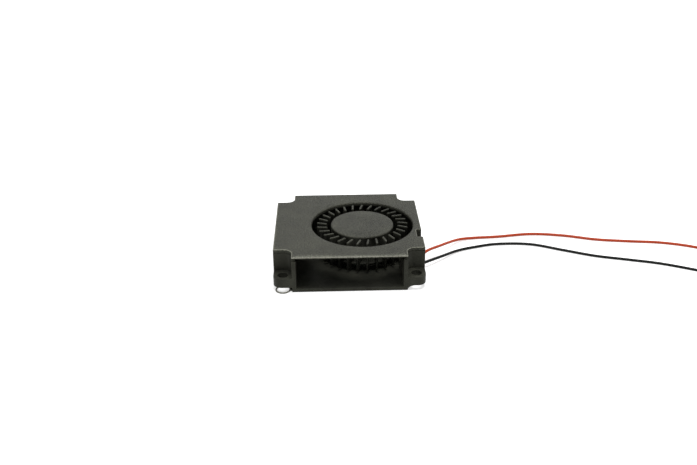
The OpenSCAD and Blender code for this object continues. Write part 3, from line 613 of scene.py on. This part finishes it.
def cover():
    """Cover plate: a closed loft whose section runs from the inlet's rim to the notched outline.
    Each section point is an inset from the outline, an outset from the rim, or a share between."""
    h, n, r = HALF, NOTCH, CORNER_ROUND
    corners = [
        (-n, -h, r), (n, -h, r), (n, -n, NOTCH_ROUND), (h, -n, r),
        (h, EXIT_FRONT, r), (EXIT_X, EXIT_FRONT, r), (EXIT_X, EXIT_BACK, r), (h, EXIT_BACK, r),
        (h, n, r), (n, n, NOTCH_ROUND), (n, h, r), (-n, h, r),
        (-n, n, NOTCH_ROUND), (-h, n, r), (-h, -n, r), (-n, -n, NOTCH_ROUND),
    ]
    outline, normal = rounded_path(corners, ARC_STEPS, COVER_RUNS)
    # Direction from the axis in which each outline point is joined to the rim: it rises all the way round,
    # so along the front side of the lead's exit EXIT_TURN sets it between its values before and after
    away = np.unwrap(np.arctan2(outline[:, 1], outline[:, 0] - AXIS_X))
    arcs = (BEFORE_EXIT + np.arange(4)) * (ARC_STEPS + COVER_RUNS)
    marks = arcs + (ARC_STEPS - 1) * np.array([1, 0, 1, 0])
    index = np.arange(marks[0], marks[-1])
    away[index] = np.interp(index, marks, [away[marks[0]], *np.radians(EXIT_TURN), away[marks[-1]]])
    rim = np.stack([np.cos(away), np.sin(away)], -1)
    at_front = (outline[:, 1] < -h + r + ON_LINE) & (np.abs(outline[:, 0]) < n)
    lift = np.where(at_front, LIP_LIFT, 0.0)
    zero = np.zeros(len(outline))

    def outer(inset, z):
        return np.column_stack([outline - normal * inset, zero + z])

    def inner(outset, z):
        return np.column_stack([rim * (INLET_R + outset) + (AXIS_X, 0), zero + z])

    def between(share, z):
        return outer(COVER_EDGE, z) * share + inner(INLET_EDGE, z) * (1 - share)

    edge = np.where(at_front, LIP_EDGE, SEAM_EDGE)
    rings = [outer(edge[:, None], COVER_LOW + lift), outer(0, COVER_LOW + edge + lift)]
    start = len(rings)
    rings += [outer(inset, HEIGHT - drop) for inset, drop in quarter(COVER_EDGE)]
    rings += [between(share, HEIGHT) for share in RINGS]
    rings += [inner(outset, HEIGHT - drop) for outset, drop in reversed(quarter(INLET_EDGE))]
    rings += [inner(0, COVER_LOW + LIP_EDGE), inner(LIP_EDGE, COVER_LOW)]
    rings += [outer(LIP_DEEP, COVER_LOW)]
    peg_profile = [
        (0, PEG_LOW), (PEG_R - PEG_ROUND, PEG_LOW), (PEG_R, PEG_LOW + PEG_ROUND),
        (PEG_R, COVER_LOW + SINK), (0, COVER_LOW + SINK),
    ]
    pegs = [
        (lathe(peg_profile, PEG_SIDES, (x * PEG_AT[0], y * PEG_AT[1])), False, True)
        for x in (-1, 1) for y in (-1, 1)
    ]
    # Painted highlight: the lip's upper edge, and less so the other edges, are painted lighter ring by ring
    lip_highlight, edge_highlight = np.array(LIP_HIGHLIGHT_PAINT)[:, None], np.array(EDGE_HIGHLIGHT_PAINT)[:, None]
    lightening = np.zeros((len(rings), len(outline)))
    lightening[start:start + len(LIP_HIGHLIGHT_PAINT)] = np.where(at_front, lip_highlight, edge_highlight)
    grids = [(np.stack(rings), True, True), *pegs]
    piece = mesh_piece("cover", grids, MATERIALS["housing_plastic"], lightening)
    own(piece, "housing_plastic", "housing", "top_cover")


def blades():
    """Ring of blades. On each level a blade is a strip with round ends between two radii, that leans
    by a steady angle: a point at radius r is turned by -tan(lean) ln(r / inner radius)."""
    foot = [(BLADE_LOW + d, i) for i, d in reversed(quarter(BLADE_FOOT_ROUND, FOOT_POINTS))]
    top = [(BLADE_TOP - d, i) for i, d in quarter(BLADE_TOP_ROUND)]
    levels = [(BLADE_LOW, BLADE_T / 2), *foot, *[(z, 0) for z in BLADE_STEP], *top, (BLADE_TOP, BLADE_T / 2)]
    z, inset = np.array(levels).T
    end_inset = np.minimum(inset, BLADE_FOOT_ROUND)
    r_in = np.interp(z, BLADE_STEP, [*BLADE_ROOT, BLADE_IN]) + end_inset
    r_out = BLADE_OUT - end_inset
    half = np.maximum(BLADE_T / 2 - inset, 0)
    # Once round a strip: out along one side, round its end, back along the other side
    run = np.linspace(0, 1, BLADE_POINTS)
    cap = np.linspace(-math.pi / 2, math.pi / 2, BLADE_POINTS)[1:-1]
    share = np.concatenate([run, np.ones_like(cap), run[::-1], np.zeros_like(cap)])
    bulge = np.concatenate([np.zeros_like(run), np.cos(cap), np.zeros_like(run), -np.cos(cap)])
    side = np.concatenate([-np.ones_like(run), np.sin(cap), np.ones_like(run), -np.sin(cap)])
    end = half[:, None]
    r = (r_in + half)[:, None] * (1 - share) + (r_out - half)[:, None] * share + end * bulge
    turn = -math.tan(math.radians(BLADE_LEAN)) * np.log(r / BLADE_IN) + end * side / r
    phase = np.radians(BLADE_PHASE) + np.arange(BLADES) * 2 * math.pi / BLADES
    angle = phase[:, None, None] + turn
    points = np.stack([
        AXIS_X + r * np.cos(angle),
        r * np.sin(angle),
        np.broadcast_to(z[None, :, None], angle.shape),
    ], -1)
    return [(one, False, True) for one in points]


def wheel():
    """Wheel: the hub is a lathe shape from its top over the skirt to the shaft's hole, the web is a flat
    lathe ring, and the blades stand on it."""
    hub = [(0, HUB_TOP), (HUB_R / 2, HUB_TOP)]
    hub += [(HUB_R - i, HUB_TOP - d) for i, d in reversed(quarter(HUB_ROUND))]
    hub += [(HUB_R - i, HUB_LOW + d) for i, d in quarter(SKIRT_ROUND)]
    hub += [(HUB_IN, HUB_LOW), (HUB_IN, ROOF_LOW), (BOSS_R, ROOF_LOW), (BOSS_R, BOSS_LOW)]
    hub += [(SHAFT_HOLE_R, BOSS_LOW), (SHAFT_HOLE_R, SHAFT_HOLE_TOP), (0, SHAFT_HOLE_TOP)]
    web = [(HUB_R - SINK, WEB_TOP)]
    web += [(WEB_R - i, WEB_TOP - d) for i, d in reversed(quarter(WEB_ROUND))]
    web += [(WEB_R - i, WEB_LOW + d) for i, d in quarter(WEB_ROUND)]
    web += [(HUB_R - SINK, WEB_LOW)]
    centre = (AXIS_X, 0)
    grids = [(lathe(hub, WHEEL_SIDES, centre), False, True), (lathe(web, WHEEL_SIDES, centre), True, True)]
    piece = mesh_piece("wheel", grids + blades(), MATERIALS["wheel_plastic"])
    own(piece, "wheel_plastic", "rotor", "impeller")


def tie():
    """Cable tie: a rounded strip carried round a rounded loop, and a head that is a rounded block, the
    surface where |x/a|^p + |y/b|^p + |z/c|^p is 1 for a high power p."""
    x, y = TIE_AT
    loop, away = rounded_path([
        (x - TIE_HALF, TIE_LOW, TIE_ROUND), (x + TIE_HALF, TIE_LOW, TIE_ROUND),
        (x + TIE_HALF, TIE_HIGH, TIE_ROUND), (x - TIE_HALF, TIE_HIGH, TIE_ROUND),
    ], ARC_STEPS, TIE_RUNS)
    half_t, half_w, r = TIE_T / 2, TIE_W / 2, TIE_EDGE
    section, _ = rounded_path([
        (-half_t, -half_w, r), (half_t, -half_w, r), (half_t, half_w, r), (-half_t, half_w, r),
    ], STRAP_ARC, STRAP_RUN)
    around = loop[:, None] + away[:, None] * section[None, :, :1]
    across = np.broadcast_to(y + section[None, :, 1:], (len(loop), len(section), 1))
    strap = np.concatenate([around[..., :1], across, around[..., 1:]], -1)
    up = np.linspace(-math.pi / 2, math.pi / 2, TIE_HEAD_GRID[0])[:, None]
    turn = np.linspace(0, 2 * math.pi, TIE_HEAD_GRID[1], endpoint=False)[None]

    def flat(value):
        return np.sign(value) * np.abs(value) ** (2 / TIE_HEAD_POWER)

    level = np.sin(up)
    # Exactly 0 at both poles, where the head closes
    reach = np.sqrt(1 - level**2)
    block = np.stack([
        flat(reach) * flat(np.cos(turn)), flat(reach) * flat(np.sin(turn)), flat(level) * np.ones_like(turn),
    ], -1)
    head = np.array(TIE_HEAD_AT) + block * np.array(TIE_HEAD)
    piece = mesh_piece("tie", [(strap, True, True), (head, False, True)], MATERIALS["tie_plastic"])
    own(piece, "tie_plastic", "housing", "coil_tie")


def any_ray(tree, *kinds):
    """1 for a ray of one of those kinds, else 0."""
    path = add(tree, "ShaderNodeLightPath").outputs
    found = path[kinds[0]]
    for kind in kinds[1:]:
        found = add(tree, "ShaderNodeMath", {0: found, 1: path[kind]}, operation="MAXIMUM").outputs[0]
    return found


def floor():
    """Plain white floor that goes on behind. Reflections see it white, and for the camera some white is
    added to it, so that the object's shadow stays where it is deep."""
    s = FLOOR_SIZE
    mesh = bpy.data.meshes.new("floor")
    mesh.from_pydata([(-s, -s, 0), (s, -s, 0), (s, s, 0), (-s, s, 0)], [], [(0, 1, 2, 3)])
    material = bpy.data.materials.new("floor_white")
    material.use_nodes = True
    tree = material.node_tree
    shader = tree.nodes["Principled BSDF"]
    shader.inputs["Base Color"].default_value = (FLOOR_TONE, FLOOR_TONE, FLOOR_TONE, 1)
    shader.inputs["Roughness"].default_value = FLOOR_ROUGH
    shader.inputs["Specular IOR Level"].default_value = 0
    white = add(tree, "ShaderNodeEmission", {"Color": WHITE, "Strength": 1})
    reflected = any_ray(tree, "Is Glossy Ray", "Is Transmission Ray")
    plain = add(tree, "ShaderNodeMixShader", {0: reflected, 1: shader.outputs[0], 2: white.outputs[0]})
    place = add(tree, "ShaderNodeTexCoord").outputs["Object"]
    distance = add(tree, "ShaderNodeVectorMath", {0: place}, operation="LENGTH").outputs["Value"]
    glow = add(tree, "ShaderNodeMapRange", {
        "Value": distance, "From Min": FLOOR_REACH[0], "From Max": FLOOR_REACH[1],
        "To Min": FLOOR_GLOW[0], "To Max": FLOOR_GLOW[1]}, interpolation_type="SMOOTHSTEP")
    seen = add(tree, "ShaderNodeMath", {
        0: any_ray(tree, "Is Camera Ray"), 1: glow.outputs["Result"]}, operation="MULTIPLY")
    added = add(tree, "ShaderNodeEmission", {"Color": WHITE, "Strength": seen.outputs[0]})
    total = add(tree, "ShaderNodeAddShader", {0: plain.outputs[0], 1: added.outputs[0]})
    tree.links.new(total.outputs[0], tree.nodes["Material Output"].inputs["Surface"])
    mesh.materials.append(material)
    plane = bpy.data.objects.new("floor", mesh)
    plane.location = (0, 0, -FLOOR_DROP)
    bpy.context.collection.objects.link(plane)


def studio():
    """Soft white surroundings, lightest overhead, with a wide lamp above."""
    world = bpy.data.worlds.new("studio")
    bpy.context.scene.world = world
    world.use_nodes = True
    tree = world.node_tree
    toward = add(tree, "ShaderNodeTexCoord").outputs["Generated"]
    height = add(tree, "ShaderNodeSeparateXYZ", {"Vector": toward}).outputs["Z"]
    room = add(tree, "ShaderNodeMapRange", {"Value": height, "To Min": ROOM_LOW, "To Max": ROOM_HIGH})
    white = any_ray(tree, "Is Camera Ray", "Is Glossy Ray", "Is Transmission Ray")
    strength = add(tree, "ShaderNodeMath", {0: white, 1: room.outputs["Result"]}, operation="MAXIMUM")
    sky = tree.nodes["Background"]
    sky.inputs["Color"].default_value = WHITE
    tree.links.new(strength.outputs[0], sky.inputs["Strength"])
    lamp = bpy.data.lights.new("lamp", "AREA")
    lamp.shape = "RECTANGLE"
    lamp.size, lamp.size_y = LAMP_SIZE
    lamp.energy = LAMP_POWER
    holder = bpy.data.objects.new("lamp", lamp)
    place = Vector(LAMP_AT)
    aim = (-place).to_track_quat("-Z", "Y").to_matrix().to_4x4()
    holder.matrix_world = Matrix.Translation(place) @ aim
    bpy.context.collection.objects.link(holder)


make_camera()
tie()
eased_copy("connector", "connector_housing", "connector_nylon")
lead("red_cord", "red_insulation", RED_ROUTE, RED_COIL_R, RED_TAIL, ("red_lead", "red_tail", "lead_coil"))
lead("black_cord", "black_insulation", BLACK_ROUTE, BLACK_COIL_R, BLACK_TAIL, ("black_lead", "black_tail"))
cover()
pale_eyelet_rim(eased_copy("housing_shell", "base_shell", "housing_plastic"))
wheel()
floor()
studio()

for row in frame["record"]["subparts"]:
    for place in frame["nodes"][row["node"]].material_slots:
        place.material = MATERIALS[row["material_slot"]]

bpy.context.scene.view_settings.view_transform = "Standard"
